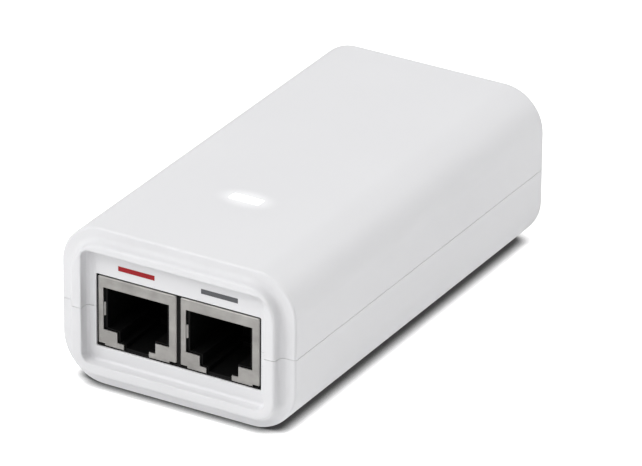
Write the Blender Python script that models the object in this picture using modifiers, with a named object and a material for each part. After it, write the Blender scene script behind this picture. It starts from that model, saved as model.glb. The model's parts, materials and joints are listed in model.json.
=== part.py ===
"""A desktop PoE injector: a small mains adapter that adds power to a network cable.

Two half shells close round one circuit board. Two shielded network jacks look
out of the front, a three-pin mains inlet looks out of the back, and a light
pipe brings the indicator to the top. The supply between them is a 24 V flyback
converter.

Units are metres and +Z is up. The origin is at the middle of the underside.
The jacks face -Y and the inlet faces +Y.
"""

import math

import bmesh
import bpy
from mathutils import Vector

MM = 0.001

# Case
CASE_WIDTH = 46.1 * MM
CASE_HEIGHT = 29.5 * MM
CASE_LENGTH = 86.4 * MM
COLLAR_DEPTH = 2.1 * MM
WALL = 2.2 * MM
TOP_RADIUS = 7.9 * MM
BASE_RADIUS = 8.4 * MM
EDGE_FILLET = 0.5 * MM
SEAM_HEIGHT = 14.5 * MM
SEAM_GAP = 0.3 * MM
TONGUE_THICKNESS = 0.9 * MM
TONGUE_HEIGHT = 1.2 * MM

# Raised collar round the ports
COLLAR_WIDTH = 40.3 * MM
COLLAR_BOTTOM = 2.4 * MM
COLLAR_TOP = 27.2 * MM
COLLAR_BASE_RADIUS = 4.0 * MM
COLLAR_TOP_RADIUS = 6.0 * MM
COLLAR_EDGE = 0.4 * MM
PANEL_WIDTH = 36.0 * MM
PANEL_BOTTOM = 4.45 * MM
PANEL_TOP = 25.45 * MM
PANEL_RADIUS = 1.5 * MM

# Clearance between neighbouring pieces
GAP = 0.3 * MM

# Circuit board
BOARD_THICKNESS = 1.6 * MM
BOARD_TOP = 7.2 * MM
BOARD_WIDTH = 39.6 * MM
POST_RADIUS = 1.8 * MM
POST_PLACES = (
    (-13.0 * MM, -12.0 * MM),
    (13.0 * MM, -12.0 * MM),
    (-16.0 * MM, 12.0 * MM),
    (16.0 * MM, 12.0 * MM),
)

# Network jacks
JACK_WIDTH = 15.6 * MM
JACK_HEIGHT = 13.15 * MM
JACK_DEPTH = 20.6 * MM
JACK_STAND_OFF = 0.15 * MM
JACK_SETBACK = 0.05 * MM
PORT_CLEARANCE = 0.24 * MM
JACK_CENTRES = {"poe": -8.15 * MM, "lan": 8.2 * MM}
SHIELD_SHEET = 0.3 * MM
SHIELD_CLEARANCE = 0.15 * MM
MOUTH_OFFSET = -0.15 * MM
MOUTH_WIDTH = 13.05 * MM
MOUTH_HEIGHT = 8.0 * MM
MOUTH_FROM_TOP = 2.05 * MM
LATCH_STEP_WIDTH = 7.6 * MM
LATCH_STEP_HEIGHT = 1.95 * MM
LATCH_SLOT_WIDTH = 5.0 * MM
LATCH_CHANNEL_BOTTOM = 1.2 * MM
LATCH_CHANNEL_TOP = 4.0 * MM
PLUG_CAVITY_WIDTH = 11.9 * MM
PLUG_CAVITY_HEIGHT = 7.6 * MM
PLUG_CAVITY_DEPTH = 14.6 * MM
PLUG_CAVITY_FROM_MOUTH = 0.2 * MM
CONTACT_COUNT = 8
CONTACT_PITCH = 1.02 * MM
CONTACT_WIDTH = 0.4 * MM
CONTACT_THICKNESS = 0.3 * MM
CONTACT_FRONT = 2.6 * MM
CONTACT_BACK = 11.4 * MM
CONTACT_LEVEL_LENGTH = 1.5 * MM
CONTACT_RISE = 0.5 * MM
CONTACT_DROP = 3.2 * MM
CONTACT_TIE = 0.8 * MM
POCKET_FRONT = 2.0 * MM
POCKET_RISE = 1.2 * MM
POCKET_DROP = 2.0 * MM

# Mains inlet
INLET_WIDTH = 20.6 * MM
INLET_HEIGHT = 15.6 * MM
INLET_DEPTH = 17.0 * MM
INLET_SETBACK = 0.1 * MM
INLET_CORNER_RADIUS = 1.2 * MM
INLET_CAVITY_DEPTH = 13.4 * MM
INLET_LOBE_RADIUS = 3.8 * MM
INLET_PIN_SPACING = 8.6 * MM
INLET_EARTH_DROP = 4.4 * MM
INLET_PIN_RADIUS = 1.18 * MM
INLET_PIN_RECESS = 2.0 * MM
INLET_PIN_CLEARANCE = 0.15 * MM
INLET_TAIL_OUT = 1.8 * MM

# Indicator on the top
LIGHT_WIDTH = 6.0 * MM
LIGHT_LENGTH = 2.2 * MM
LIGHT_FROM_FRONT = 22.4 * MM
LIGHT_CLEARANCE = 0.2 * MM
LAMP_SIZE = (3.5 * MM, 1.8 * MM, 1.2 * MM)
LAMP_EDGE = 0.2 * MM

# Rating label under the base
LABEL_WIDTH = 26.0 * MM
LABEL_LENGTH = 36.0 * MM
LABEL_CENTRE_Y = 14.0 * MM
LABEL_RECESS = 0.4 * MM
LABEL_THICKNESS = 0.15 * MM
LABEL_LIFT = 0.1 * MM

# Facets on round shapes
CORNER_STEPS = 8
SMALL_CORNER_STEPS = 3
ROUND_STEPS = 20
SMALL_ROUND_STEPS = 12

# Places worked out from the sizes above
BACK = (CASE_LENGTH + COLLAR_DEPTH) / 2
COLLAR_FACE = -BACK
PANEL_FACE = COLLAR_FACE + COLLAR_DEPTH
INNER_WIDTH = CASE_WIDTH - 2 * WALL
INNER_FRONT = PANEL_FACE + WALL
INNER_BACK = BACK - WALL
JACK_BOTTOM = BOARD_TOP + JACK_STAND_OFF
JACK_TOP = JACK_BOTTOM + JACK_HEIGHT
MOUTH_TOP = JACK_TOP - MOUTH_FROM_TOP
JACK_FACE = PANEL_FACE + JACK_SETBACK
INLET_BOTTOM = BOARD_TOP + GAP
INLET_FACE = BACK - INLET_SETBACK
LIGHT_Y = PANEL_FACE + LIGHT_FROM_FRONT
COMPONENT_BASE = BOARD_TOP + GAP

# Colour, roughness and metallic value of each finish
FINISHES = {
    "case_plastic": ((0.86, 0.86, 0.87), 0.42, 0.0),
    "light_plastic": ((0.95, 0.97, 1.0), 0.25, 0.0),
    "shield_metal": ((0.55, 0.54, 0.52), 0.38, 1.0),
    "black_plastic": ((0.02, 0.02, 0.02), 0.45, 0.0),
    "contact_gold": ((0.80, 0.58, 0.22), 0.25, 1.0),
    "pin_metal": ((0.75, 0.73, 0.70), 0.25, 1.0),
    "board_laminate": ((0.05, 0.22, 0.09), 0.45, 0.0),
    "capacitor_sleeve": ((0.03, 0.04, 0.09), 0.35, 0.0),
    "ferrite": ((0.07, 0.07, 0.075), 0.60, 0.0),
    "copper_winding": ((0.60, 0.26, 0.12), 0.35, 1.0),
    "winding_tape": ((0.85, 0.68, 0.10), 0.40, 0.0),
    "film_capacitor": ((0.75, 0.62, 0.10), 0.40, 0.0),
    "disc_coating": ((0.05, 0.22, 0.55), 0.40, 0.0),
    "package_resin": ((0.03, 0.03, 0.032), 0.50, 0.0),
    "heatsink_metal": ((0.72, 0.73, 0.74), 0.35, 1.0),
    "label_film": ((0.78, 0.79, 0.80), 0.50, 0.0),
}

AXIS_TURNS = {
    "X": (math.radians(90), 0.0, math.radians(90)),
    "Y": (math.radians(90), 0.0, 0.0),
    "Z": (0.0, 0.0, 0.0),
}
AXIS_VECTORS = {"X": Vector((1, 0, 0)), "Y": Vector((0, 1, 0)), "Z": Vector((0, 0, 1))}


# ---------------------------------------------------------------- scene helpers


def clear_scene():
    for thing in list(bpy.data.objects):
        bpy.data.objects.remove(thing, do_unlink=True)


def new_collection(name):
    collection = bpy.data.collections.new(name)
    bpy.context.scene.collection.children.link(collection)
    return collection


def finish_of(piece, finish):
    """Gives the piece its own material with the colour, roughness and metal of a finish."""
    colour, roughness, metallic = FINISHES[finish]
    material = bpy.data.materials.new(f"{piece.name}_{finish}")
    material.use_nodes = True
    shader = material.node_tree.nodes["Principled BSDF"]
    shader.inputs["Base Color"].default_value = (*colour, 1.0)
    shader.inputs["Roughness"].default_value = roughness
    shader.inputs["Metallic"].default_value = metallic
    piece.data.materials.clear()
    piece.data.materials.append(material)


def add_part(piece, finish, holder):
    """Puts a finished piece in the injector's collection, under the holder empty."""
    bpy.data.collections["poe_injector"].objects.link(piece)
    piece.parent = holder
    finish_of(piece, finish)
    return piece


def add_tool(piece):
    """Keeps a cutter, or a shape to be joined on, out of the model itself."""
    bpy.data.collections["tools"].objects.link(piece)
    piece.hide_render = True
    piece.display_type = "WIRE"
    return piece


# ---------------------------------------------------------------- shape helpers


def from_bmesh(name, shape):
    mesh = bpy.data.meshes.new(name)
    shape.to_mesh(mesh)
    shape.free()
    return bpy.data.objects.new(name, mesh)


def box(name, low, high):
    low, high = Vector(low), Vector(high)
    shape = bmesh.new()
    bmesh.ops.create_cube(shape, size=1.0)
    bmesh.ops.scale(shape, vec=high - low, verts=shape.verts)
    piece = from_bmesh(name, shape)
    piece.location = (low + high) / 2
    return piece


def standing_box(name, centre, size):
    """A box on the board: its centre across the board, and its width, length and height."""
    half = Vector((size[0] / 2, size[1] / 2, 0))
    foot = Vector((centre[0], centre[1], COMPONENT_BASE))
    return box(name, foot - half, foot + half + Vector((0, 0, size[2])))


def cylinder(name, radius, length, centre, axis="Z", steps=ROUND_STEPS):
    shape = bmesh.new()
    bmesh.ops.create_cone(
        shape,
        cap_ends=True,
        segments=steps,
        radius1=radius,
        radius2=radius,
        depth=length,
    )
    piece = from_bmesh(name, shape)
    piece.location = centre
    piece.rotation_euler = AXIS_TURNS[axis]
    shade_round(piece)
    return piece


def turned(name, profile, foot):
    """A shape turned about its own Z axis; the profile runs from its top to its foot."""
    shape = bmesh.new()
    corners = [shape.verts.new((radius, 0.0, height)) for radius, height in profile]
    for upper, lower in zip(corners, corners[1:]):
        shape.edges.new((upper, lower))
    piece = from_bmesh(name, shape)
    piece.location = foot
    screw = piece.modifiers.new("turn", "SCREW")
    screw.steps = ROUND_STEPS
    screw.render_steps = ROUND_STEPS
    screw.use_merge_vertices = True
    screw.merge_threshold = 0.01 * MM
    screw.use_smooth_shade = True
    return piece


def arc(centre, radius, start_degrees, end_degrees, steps=CORNER_STEPS):
    points = []
    for step in range(steps + 1):
        share = step / steps
        angle = math.radians(start_degrees + (end_degrees - start_degrees) * share)
        across = centre[0] + radius * math.cos(angle)
        up = centre[1] + radius * math.sin(angle)
        points.append((across, up))
    return points


def rounded_outline(width, bottom, top, base_radius, top_radius, steps=CORNER_STEPS):
    """A rounded rectangle about the middle plane, from its right base corner round."""
    side = width / 2
    low, high = bottom + base_radius, top - top_radius
    return (
        arc((side - base_radius, low), base_radius, -90, 0, steps)
        + arc((side - top_radius, high), top_radius, 0, 90, steps)
        + arc((top_radius - side, high), top_radius, 90, 180, steps)
        + arc((base_radius - side, low), base_radius, 180, 270, steps)
    )


def as_mesh(name, drawn):
    """The curve object as a closed mesh object in the same place."""
    bpy.context.scene.collection.objects.link(drawn)
    bpy.context.view_layer.update()
    graph = bpy.context.evaluated_depsgraph_get()
    mesh = bpy.data.meshes.new_from_object(drawn.evaluated_get(graph))
    mesh.name = name
    shape = bmesh.new()
    shape.from_mesh(mesh)
    bmesh.ops.remove_doubles(shape, verts=shape.verts, dist=0.001 * MM)
    shape.to_mesh(mesh)
    shape.free()
    piece = bpy.data.objects.new(name, mesh)
    piece.matrix_world = drawn.matrix_world.copy()
    bpy.data.objects.remove(drawn, do_unlink=True)
    return piece


def extruded(name, outlines, axis, start, end):
    """A flat outline, with any holes after it, drawn out along an axis from start to end."""
    curve = bpy.data.curves.new(name, "CURVE")
    curve.dimensions = "2D"
    curve.fill_mode = "BOTH"
    curve.extrude = (end - start) / 2
    for outline in outlines:
        spline = curve.splines.new("POLY")
        spline.points.add(len(outline) - 1)
        for point, (across, up) in zip(spline.points, outline):
            point.co = (across, up, 0.0, 1.0)
        spline.use_cyclic_u = True
    drawn = bpy.data.objects.new(f"{name}_outline", curve)
    drawn.rotation_euler = AXIS_TURNS[axis]
    drawn.location = AXIS_VECTORS[axis] * ((start + end) / 2)
    return as_mesh(name, drawn)


def wire(name, points, radius):
    """A round wire along straight stretches, with closed ends."""
    curve = bpy.data.curves.new(name, "CURVE")
    curve.dimensions = "3D"
    curve.bevel_depth = radius
    curve.bevel_resolution = 2
    curve.use_fill_caps = True
    spline = curve.splines.new("POLY")
    spline.points.add(len(points) - 1)
    for point, place in zip(spline.points, points):
        point.co = (*place, 1.0)
    piece = as_mesh(name, bpy.data.objects.new(f"{name}_path", curve))
    shade_round(piece)
    return piece


def shade_round(piece):
    piece.data.shade_smooth()
    piece.data.set_sharp_from_angle(angle=math.radians(35))


def bevel(piece, width, segments=1):
    modifier = piece.modifiers.new("edges", "BEVEL")
    modifier.width = width
    modifier.segments = segments
    modifier.limit_method = "ANGLE"
    modifier.angle_limit = math.radians(60)
    return piece


def combine(piece, tool, operation):
    modifier = piece.modifiers.new(f"{operation.lower()}_{tool.name}", "BOOLEAN")
    modifier.operation = operation
    modifier.object = tool


# ------------------------------------------------------------------------- case


def case_block(name):
    """The whole case as one solid bar, before it is hollowed and split."""
    outline = rounded_outline(CASE_WIDTH, 0.0, CASE_HEIGHT, BASE_RADIUS, TOP_RADIUS)
    block = extruded(name, [outline], "Y", PANEL_FACE, BACK)
    bevel(block, EDGE_FILLET)
    shade_round(block)
    return block


def collar_ring():
    """The raised rounded frame round the port panel, rooted in the front wall."""
    outer = rounded_outline(
        COLLAR_WIDTH, COLLAR_BOTTOM, COLLAR_TOP, COLLAR_BASE_RADIUS, COLLAR_TOP_RADIUS
    )
    inner = rounded_outline(
        PANEL_WIDTH,
        PANEL_BOTTOM,
        PANEL_TOP,
        PANEL_RADIUS,
        PANEL_RADIUS,
        SMALL_CORNER_STEPS,
    )
    root = PANEL_FACE + WALL / 2
    ring = extruded("collar_ring", [outer, inner], "Y", COLLAR_FACE, root)
    return add_tool(bevel(ring, COLLAR_EDGE))


def case_cavity():
    """The hollow inside both shells."""
    outline = rounded_outline(
        INNER_WIDTH, WALL, CASE_HEIGHT - WALL, BASE_RADIUS - WALL, TOP_RADIUS - WALL
    )
    return add_tool(extruded("case_cavity", [outline], "Y", INNER_FRONT, INNER_BACK))


def plan_box(name, margin, bottom, top):
    """A box in plan that stands out from the hollow by a margin on all four sides."""
    side = INNER_WIDTH / 2 + margin
    low = (-side, INNER_FRONT - margin, bottom)
    high = (side, INNER_BACK + margin, top)
    return box(name, low, high)


def seam_tongue():
    """The thin upright lip of the lower shell that closes the seam from inside."""
    top = SEAM_HEIGHT - SEAM_GAP / 2 + TONGUE_HEIGHT
    ring = plan_box("seam_tongue", TONGUE_THICKNESS, SEAM_HEIGHT - 2 * MM, top)
    middle = plan_box("seam_tongue_middle", 0.0, SEAM_HEIGHT - 3 * MM, top + MM)
    combine(ring, add_tool(middle), "DIFFERENCE")
    return add_tool(ring)


def seam_groove():
    """The step in the upper shell that the tongue stands in."""
    top = SEAM_HEIGHT + SEAM_GAP / 2 + TONGUE_HEIGHT
    return add_tool(plan_box("seam_groove", TONGUE_THICKNESS + GAP, 0.0, top))


def port_cutter():
    """The opening in the front panel that both jacks look out of."""
    side = JACK_WIDTH / 2 + PORT_CLEARANCE
    low = (JACK_CENTRES["poe"] - side, COLLAR_FACE - MM, JACK_BOTTOM - PORT_CLEARANCE)
    high = (JACK_CENTRES["lan"] + side, INNER_FRONT + MM, JACK_TOP + PORT_CLEARANCE)
    return add_tool(box("port_cutter", low, high))


def inlet_outline(margin):
    """The rounded rectangle of the mains inlet, grown by a margin all round."""
    return rounded_outline(
        INLET_WIDTH + 2 * margin,
        INLET_BOTTOM - margin,
        INLET_BOTTOM + INLET_HEIGHT + margin,
        INLET_CORNER_RADIUS + margin,
        INLET_CORNER_RADIUS + margin,
        SMALL_CORNER_STEPS,
    )


def inlet_cutter():
    """The opening in the back wall that the mains inlet fills."""
    outline = inlet_outline(GAP)
    cutter = extruded("inlet_cutter", [outline], "Y", INNER_BACK - MM, BACK + MM)
    return add_tool(cutter)


def light_cutter():
    across = LIGHT_WIDTH / 2 + LIGHT_CLEARANCE
    along = LIGHT_LENGTH / 2 + LIGHT_CLEARANCE
    reach = Vector((across, along, 0))
    low = Vector((0, LIGHT_Y, CASE_HEIGHT - 2 * WALL)) - reach
    high = Vector((0, LIGHT_Y, CASE_HEIGHT + MM)) + reach
    return add_tool(box("light_cutter", low, high))


def label_cutter():
    reach = Vector((LABEL_WIDTH / 2 + GAP, LABEL_LENGTH / 2 + GAP, 0))
    low = Vector((0, LABEL_CENTRE_Y, -MM)) - reach
    high = Vector((0, LABEL_CENTRE_Y, LABEL_RECESS)) + reach
    return add_tool(box("label_cutter", low, high))


def board_post(name, x, y):
    foot = WALL / 2
    top = BOARD_TOP - BOARD_THICKNESS - GAP
    centre = (x, y, (foot + top) / 2)
    post = cylinder(name, POST_RADIUS, top - foot, centre, steps=SMALL_ROUND_STEPS)
    return add_tool(post)


def half_space(name, bottom, top):
    reach = CASE_LENGTH
    return add_tool(box(name, (-reach, -reach, bottom), (reach, reach, top)))


def make_upper_shell(holder, shared):
    shell = add_part(case_block("upper_shell"), "case_plastic", holder)
    above = half_space("above_seam", SEAM_HEIGHT + SEAM_GAP / 2, 2 * CASE_HEIGHT)
    combine(shell, shared["collar"], "UNION")
    combine(shell, above, "INTERSECT")
    combine(shell, shared["cavity"], "DIFFERENCE")
    combine(shell, seam_groove(), "DIFFERENCE")
    combine(shell, shared["ports"], "DIFFERENCE")
    combine(shell, shared["inlet"], "DIFFERENCE")
    combine(shell, light_cutter(), "DIFFERENCE")


def make_lower_shell(holder, shared):
    shell = add_part(case_block("lower_shell"), "case_plastic", holder)
    below = half_space("below_seam", -CASE_HEIGHT, SEAM_HEIGHT - SEAM_GAP / 2)
    combine(shell, shared["collar"], "UNION")
    combine(shell, below, "INTERSECT")
    combine(shell, shared["cavity"], "DIFFERENCE")
    combine(shell, seam_tongue(), "UNION")
    for count, (x, y) in enumerate(POST_PLACES, start=1):
        post = board_post(f"board_post_{count}", x, y)
        combine(shell, post, "UNION")
    combine(shell, shared["ports"], "DIFFERENCE")
    combine(shell, shared["inlet"], "DIFFERENCE")
    combine(shell, label_cutter(), "DIFFERENCE")


def make_case(holder):
    shared = {
        "collar": collar_ring(),
        "cavity": case_cavity(),
        "ports": port_cutter(),
        "inlet": inlet_cutter(),
    }
    make_upper_shell(holder, shared)
    make_lower_shell(holder, shared)


def make_rating_label(holder):
    """A blank film in a shallow recess of the underside, just clear of the table."""
    reach = Vector((LABEL_WIDTH / 2, LABEL_LENGTH / 2, 0))
    low = Vector((0, LABEL_CENTRE_Y, LABEL_LIFT)) - reach
    high = Vector((0, LABEL_CENTRE_Y, LABEL_LIFT + LABEL_THICKNESS)) + reach
    add_part(box("rating_label", low, high), "label_film", holder)


def make_light(holder):
    """The light pipe from the top down to the lamp on the board."""
    reach = Vector((LIGHT_WIDTH / 2, LIGHT_LENGTH / 2, 0))
    lamp_top = COMPONENT_BASE + LAMP_SIZE[2]
    low = Vector((0, LIGHT_Y, lamp_top + GAP)) - reach
    high = Vector((0, LIGHT_Y, CASE_HEIGHT)) + reach
    add_part(box("led_light_pipe", low, high), "light_plastic", holder)
    lamp = standing_box("indicator_led", (0, LIGHT_Y), LAMP_SIZE)
    add_part(bevel(lamp, LAMP_EDGE), "light_plastic", holder)


def make_board(holder):
    side = BOARD_WIDTH / 2
    low = (-side, INNER_FRONT + GAP, BOARD_TOP - BOARD_THICKNESS)
    high = (side, INNER_BACK - GAP, BOARD_TOP)
    board = box("main_circuit_board", low, high)
    add_part(board, "board_laminate", holder)


# ---------------------------------------------------------------- network jacks


def shield_mouth_outline(centre):
    """The stepped opening of a jack, wide above and narrow at the latch."""
    middle = centre + MOUTH_OFFSET
    step = MOUTH_TOP - MOUTH_HEIGHT
    slot = step - LATCH_STEP_HEIGHT
    right = (
        (LATCH_SLOT_WIDTH / 2, JACK_BOTTOM - MM),
        (LATCH_SLOT_WIDTH / 2, slot),
        (LATCH_STEP_WIDTH / 2, slot),
        (LATCH_STEP_WIDTH / 2, step),
        (MOUTH_WIDTH / 2, step),
        (MOUTH_WIDTH / 2, MOUTH_TOP),
    )
    left = [(-across, up) for across, up in reversed(right)]
    return [(middle + across, up) for across, up in [*right, *left]]


def make_shield(name, centre, holder):
    """The folded sheet-metal can, open below and at the mouth."""
    side = JACK_WIDTH / 2
    back = JACK_FACE + JACK_DEPTH
    shield = box(
        f"{name}_jack_shield",
        (centre - side, JACK_FACE, JACK_BOTTOM),
        (centre + side, back, JACK_TOP),
    )
    inside = box(
        f"{name}_shield_inside",
        (centre - side + SHIELD_SHEET, JACK_FACE + SHIELD_SHEET, JACK_BOTTOM - MM),
        (centre + side - SHIELD_SHEET, back - SHIELD_SHEET, JACK_TOP - SHIELD_SHEET),
    )
    mouth = extruded(
        f"{name}_shield_mouth",
        [shield_mouth_outline(centre)],
        "Y",
        JACK_FACE - MM,
        JACK_FACE + MM,
    )
    add_part(shield, "shield_metal", holder)
    combine(shield, add_tool(inside), "DIFFERENCE")
    combine(shield, add_tool(mouth), "DIFFERENCE")


def plug_cavity(name, middle):
    """The space a plug goes into, under the contacts."""
    top = MOUTH_TOP - PLUG_CAVITY_FROM_MOUTH
    side = PLUG_CAVITY_WIDTH / 2
    low = (middle - side, JACK_FACE - MM, top - PLUG_CAVITY_HEIGHT)
    high = (middle + side, JACK_FACE + PLUG_CAVITY_DEPTH, top)
    return add_tool(box(f"{name}_plug_cavity", low, high))


def latch_channel(name, middle):
    """The narrower way under the plug that its latch slides along."""
    side = LATCH_STEP_WIDTH / 2
    back = JACK_FACE + PLUG_CAVITY_DEPTH - MM
    low = (middle - side, JACK_FACE - MM, JACK_BOTTOM + LATCH_CHANNEL_BOTTOM)
    high = (middle + side, back, JACK_BOTTOM + LATCH_CHANNEL_TOP)
    return add_tool(box(f"{name}_latch_channel", low, high))


def contact_pocket(name, middle):
    """The recess over the plug cavity that the contact wires spring into."""
    side = CONTACT_COUNT * CONTACT_PITCH / 2 + GAP
    back = JACK_FACE + PLUG_CAVITY_DEPTH - MM
    low = (middle - side, JACK_FACE + POCKET_FRONT, MOUTH_TOP - POCKET_DROP)
    high = (middle + side, back, MOUTH_TOP + POCKET_RISE)
    return add_tool(box(f"{name}_contact_pocket", low, high))


def make_housing(name, centre, holder):
    """The black plastic insert inside the shield."""
    inset = SHIELD_SHEET + SHIELD_CLEARANCE
    side = JACK_WIDTH / 2 - inset
    back = JACK_FACE + JACK_DEPTH - SHIELD_SHEET - GAP
    housing = box(
        f"{name}_jack_housing",
        (centre - side, JACK_FACE + inset, JACK_BOTTOM),
        (centre + side, back, JACK_TOP - inset),
    )
    add_part(housing, "black_plastic", holder)
    middle = centre + MOUTH_OFFSET
    combine(housing, plug_cavity(name, middle), "DIFFERENCE")
    combine(housing, latch_channel(name, middle), "DIFFERENCE")
    combine(housing, contact_pocket(name, middle), "DIFFERENCE")


def contact_profile():
    """One bent contact strip seen from the side, with the strip that ties all eight."""
    front, back = JACK_FACE + CONTACT_FRONT, JACK_FACE + CONTACT_BACK
    bend = front + CONTACT_LEVEL_LENGTH
    high, low = MOUTH_TOP + CONTACT_RISE, MOUTH_TOP - CONTACT_DROP
    return [
        (front, high + CONTACT_THICKNESS),
        (bend, high + CONTACT_THICKNESS),
        (back, low + CONTACT_THICKNESS),
        (back, low),
        (bend, high - CONTACT_THICKNESS),
        (front, high),
    ]


def make_contacts(name, centre, holder):
    """Eight springy strips side by side, tied together at the front."""
    middle = centre + MOUTH_OFFSET
    half = CONTACT_COUNT * CONTACT_PITCH / 2
    slit = (CONTACT_PITCH - CONTACT_WIDTH) / 2
    start, end = middle - half + slit, middle + half - slit
    strips = extruded(f"{name}_jack_contacts", [contact_profile()], "X", start, end)
    add_part(strips, "contact_gold", holder)
    tie_end = JACK_FACE + CONTACT_FRONT + CONTACT_TIE
    for count in range(1, CONTACT_COUNT):
        between = middle - half + count * CONTACT_PITCH
        gap = box(
            f"{name}_contact_gap_{count}",
            (between - slit, tie_end, JACK_BOTTOM),
            (between + slit, JACK_FACE + JACK_DEPTH, CASE_HEIGHT),
        )
        combine(strips, add_tool(gap), "DIFFERENCE")


def make_jacks(holder):
    for name, centre in JACK_CENTRES.items():
        make_shield(name, centre, holder)
        make_housing(name, centre, holder)
        make_contacts(name, centre, holder)


# ------------------------------------------------------------------ mains inlet


def inlet_pin_places():
    """Where the three pins stand across the inlet, by name."""
    middle = INLET_BOTTOM + INLET_HEIGHT / 2
    high = middle + INLET_EARTH_DROP / 2
    low = middle - INLET_EARTH_DROP / 2
    half = INLET_PIN_SPACING / 2
    return {"line": (-half, high), "neutral": (half, high), "earth": (0.0, low)}


def inlet_cavity():
    """The three-lobed hollow that the cord's connector goes into."""
    places = inlet_pin_places()
    mouth = INLET_FACE + MM
    floor = INLET_FACE - INLET_CAVITY_DEPTH
    left, right, foot = places["line"], places["neutral"], places["earth"]
    slant = math.degrees(math.atan2(right[1] - foot[1], right[0] - foot[0])) - 90
    outline = (
        arc(right, INLET_LOBE_RADIUS, slant, 90)
        + arc(left, INLET_LOBE_RADIUS, 90, 180 - slant)
        + arc(foot, INLET_LOBE_RADIUS, 180 - slant, 360 + slant)
    )
    return add_tool(extruded("inlet_cavity", [outline], "Y", floor, mouth))


def make_inlet_body(holder):
    back = INLET_FACE - INLET_DEPTH
    body = extruded("mains_inlet_body", [inlet_outline(0.0)], "Y", back, INLET_FACE)
    add_part(body, "black_plastic", holder)
    combine(body, inlet_cavity(), "DIFFERENCE")
    floor = INLET_DEPTH - INLET_CAVITY_DEPTH
    radius = INLET_PIN_RADIUS + INLET_PIN_CLEARANCE
    length = floor + 2 * MM
    for name, (x, z) in inlet_pin_places().items():
        centre = (x, back + floor / 2, z)
        bore = cylinder(f"{name}_pin_bore", radius, length, centre, "Y", SMALL_ROUND_STEPS)
        combine(body, add_tool(bore), "DIFFERENCE")


def make_inlet_pins(holder):
    """Straight round pins whose tails turn down to the board."""
    back = INLET_FACE - INLET_DEPTH
    tip = INLET_FACE - INLET_PIN_RECESS
    turn = back - INLET_TAIL_OUT
    foot = BOARD_TOP + GAP
    for name, (x, z) in inlet_pin_places().items():
        points = [(x, tip, z), (x, turn, z), (x, turn, foot)]
        pin = wire(f"inlet_{name}_pin", points, INLET_PIN_RADIUS)
        add_part(pin, "pin_metal", holder)


def make_inlet(holder):
    make_inlet_body(holder)
    make_inlet_pins(holder)


# ------------------------------------------------------------ board components


def block_part(name, centre, size, finish, holder):
    """A moulded block on the board; centre and size are in millimetres."""
    centre = [value * MM for value in centre]
    size = [value * MM for value in size]
    piece = bevel(standing_box(name, centre, size), 0.3 * MM)
    return add_part(piece, finish, holder)


def can_part(name, centre, radius, height, holder):
    """A radial electrolytic capacitor with its rolled neck; sizes are in millimetres."""
    radius, height = radius * MM, height * MM
    rim, neck = 0.4 * MM, 1.6 * MM
    profile = [
        (0.0, height),
        (radius - rim, height),
        (radius, height - rim),
        (radius, neck + 2 * rim),
        (radius - rim, neck + rim),
        (radius, neck),
        (radius, rim),
        (radius - rim, 0.0),
        (0.0, 0.0),
    ]
    foot = (centre[0] * MM, centre[1] * MM, COMPONENT_BASE)
    return add_part(turned(name, profile, foot), "capacitor_sleeve", holder)


def disc_part(name, centre, radius, thickness, axis, finish, holder):
    """A coated disc standing on its edge; sizes are in millimetres."""
    place = (centre[0] * MM, centre[1] * MM, COMPONENT_BASE + (radius + 0.8) * MM)
    piece = cylinder(name, radius * MM, thickness * MM, place, axis)
    return add_part(bevel(piece, 0.5 * MM), finish, holder)


def make_transformer(holder):
    """An EE core in two halves round a wound bobbin; sizes are in millimetres."""
    x, y, width, length = -7.0, 3.0, 16.0, 17.0
    limb, height = 3.2, 13.0
    half_gap, rooted, clearance = 0.15, 0.5, 0.3
    for side, name in ((-1, "front"), (1, "back")):
        core = standing_box(
            f"transformer_core_{name}",
            (x * MM, (y + side * (length - limb) / 2) * MM),
            (width * MM, limb * MM, height * MM),
        )
        root = y + side * (length / 2 - limb + rooted)
        low, high = sorted((root, y + side * half_gap))
        for end in (-1, 1):
            edge = x + end * (width - limb) / 2
            leg = box(
                f"transformer_leg_{name}_{end}",
                ((edge - limb / 2) * MM, low * MM, COMPONENT_BASE),
                ((edge + limb / 2) * MM, high * MM, COMPONENT_BASE + height * MM),
            )
            combine(core, add_tool(leg), "UNION")
        add_part(core, "ferrite", holder)
    spare = 2 * (limb + clearance)
    make_bobbin(x, y, length - spare, width - spare, holder)


def make_bobbin(x, y, length, width, holder):
    """The bobbin's spool, with flanges at both ends, and the taped winding round it."""
    core_middle = 6.5 * MM
    middle = Vector((x * MM, y * MM, COMPONENT_BASE + core_middle))
    flange, spool = 0.8 * MM, 3.0 * MM
    half = length * MM / 2
    reach = width * MM / 2
    profile_up = (
        (-half, reach),
        (-half + flange, reach),
        (-half + flange, spool),
        (half - flange, spool),
        (half - flange, reach),
        (half, reach),
    )
    profile_down = [(along, -up) for along, up in reversed(profile_up)]
    outline = [(middle.y + a, middle.z + u) for a, u in [*profile_up, *profile_down]]
    bobbin = extruded(
        "transformer_bobbin", [outline], "X", middle.x - spool, middle.x + spool
    )
    add_part(bobbin, "black_plastic", holder)
    gap, below_flange = 0.2 * MM, 0.3 * MM
    bore, outer = spool + gap, reach - below_flange
    square = [(-outer, -outer), (outer, -outer), (outer, outer), (-outer, outer)]
    hollow = [(-bore, -bore), (bore, -bore), (bore, bore), (-bore, bore)]
    rings = [[(middle.x + a, middle.z + u) for a, u in ring] for ring in (square, hollow)]
    front = middle.y - half + flange + gap
    back = middle.y + half - flange - gap
    winding = extruded("transformer_winding", rings, "Y", front, back)
    add_part(winding, "winding_tape", holder)


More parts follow.
